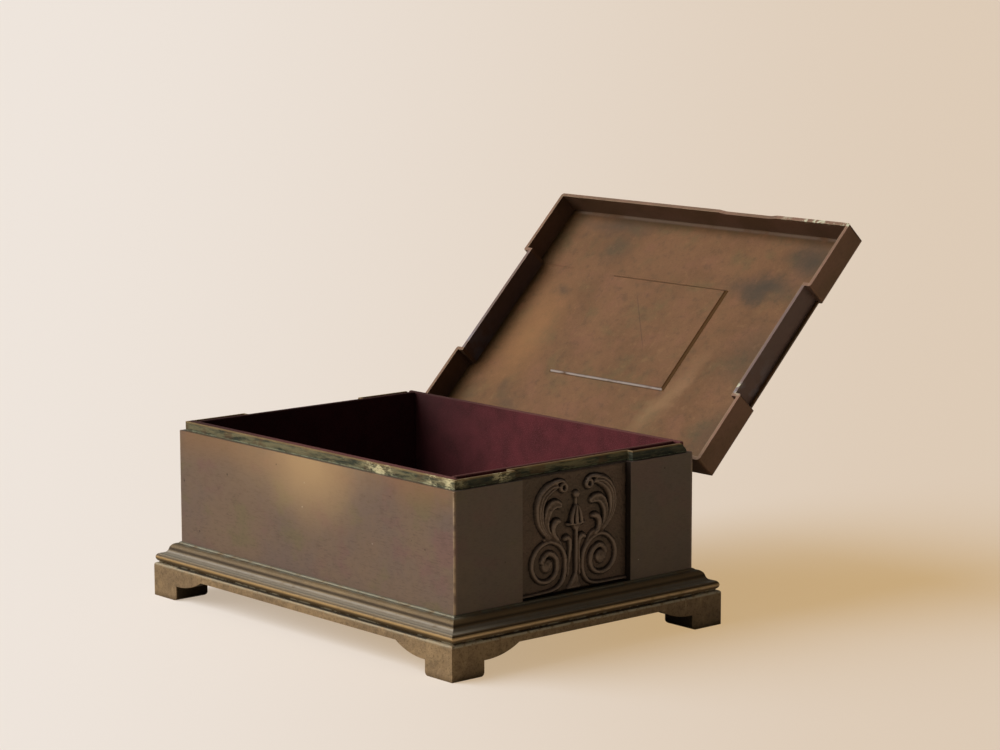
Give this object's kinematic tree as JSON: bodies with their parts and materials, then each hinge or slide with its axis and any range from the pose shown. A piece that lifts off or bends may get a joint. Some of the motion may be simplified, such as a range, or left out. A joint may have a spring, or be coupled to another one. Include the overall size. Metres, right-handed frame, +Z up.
{
  "type": "silverware chest",
  "caption": "Rectangular cast bronze table chest on bracket feet, with side relief plaques, a cloth-lined interior and a lid hinged along the back.",
  "frame": {"origin": "centre of the footprint, on the surface the feet stand on", "axes": "+X to the chest's right side, -Y to its front, +Z up"},
  "size_m": [0.306, 0.3631, 0.2447],
  "materials": {
    "wall_bronze": "brown patinated cast bronze, satin",
    "plaque_bronze": "dark patinated cast bronze, satin",
    "tongue_bronze": "bronze with green verdigris, dull",
    "moulding_bronze": "rubbed golden-brown bronze, satin",
    "base_bronze": "golden-brown cast bronze, satin",
    "lid_bronze": "warm brown bronze, unpolished",
    "rim_bronze": "dark patinated bronze, satin",
    "hinge_brass": "dull brass",
    "steel": "darkened steel",
    "lining_cloth": "maroon cloth over board"
  },
  "bodies": {
    "chest": {"wall_front": "wall_bronze", "wall_back": "wall_bronze", "wall_left": "wall_bronze", "wall_right": "wall_bronze", "plaque_left": "plaque_bronze", "plaque_right": "plaque_bronze", "tongue_front": "tongue_bronze", "tongue_left": "tongue_bronze", "tongue_right": "tongue_bronze", "bottom_plate": "base_bronze", "moulding_front": "moulding_bronze", "moulding_back": "moulding_bronze", "moulding_left": "moulding_bronze", "moulding_right": "moulding_bronze", "rail_front": "base_bronze", "rail_back": "base_bronze", "rail_left": "base_bronze", "rail_right": "base_bronze", "foot_front_left": "base_bronze", "foot_front_right": "base_bronze", "foot_back_left": "base_bronze", "foot_back_right": "base_bronze", "foot_screws": "steel", "rail_screws": "steel", "lining_floor": "lining_cloth", "lining_front": "lining_cloth", "lining_back": "lining_cloth", "lining_left": "lining_cloth", "lining_right": "lining_cloth", "hinge_box_leaf": "hinge_brass", "hinge_pin": "steel", "box_leaf_screws": "steel"},
    "lid": {"lid_plate": "lid_bronze", "lid_rim_front": "rim_bronze", "lid_rim_back": "rim_bronze", "lid_rim_left": "rim_bronze", "lid_rim_right": "rim_bronze", "hinge_lid_leaf": "hinge_brass", "lid_leaf_screws": "steel"}
  },
  "joints": [
    {"name": "lid_hinge", "type": "hinge", "parent": "chest", "child": "lid", "pos_m": [0, 0.0992, 0.1067], "axis": [1, 0, 0], "range_deg": [0, 134.4]}
  ]
}
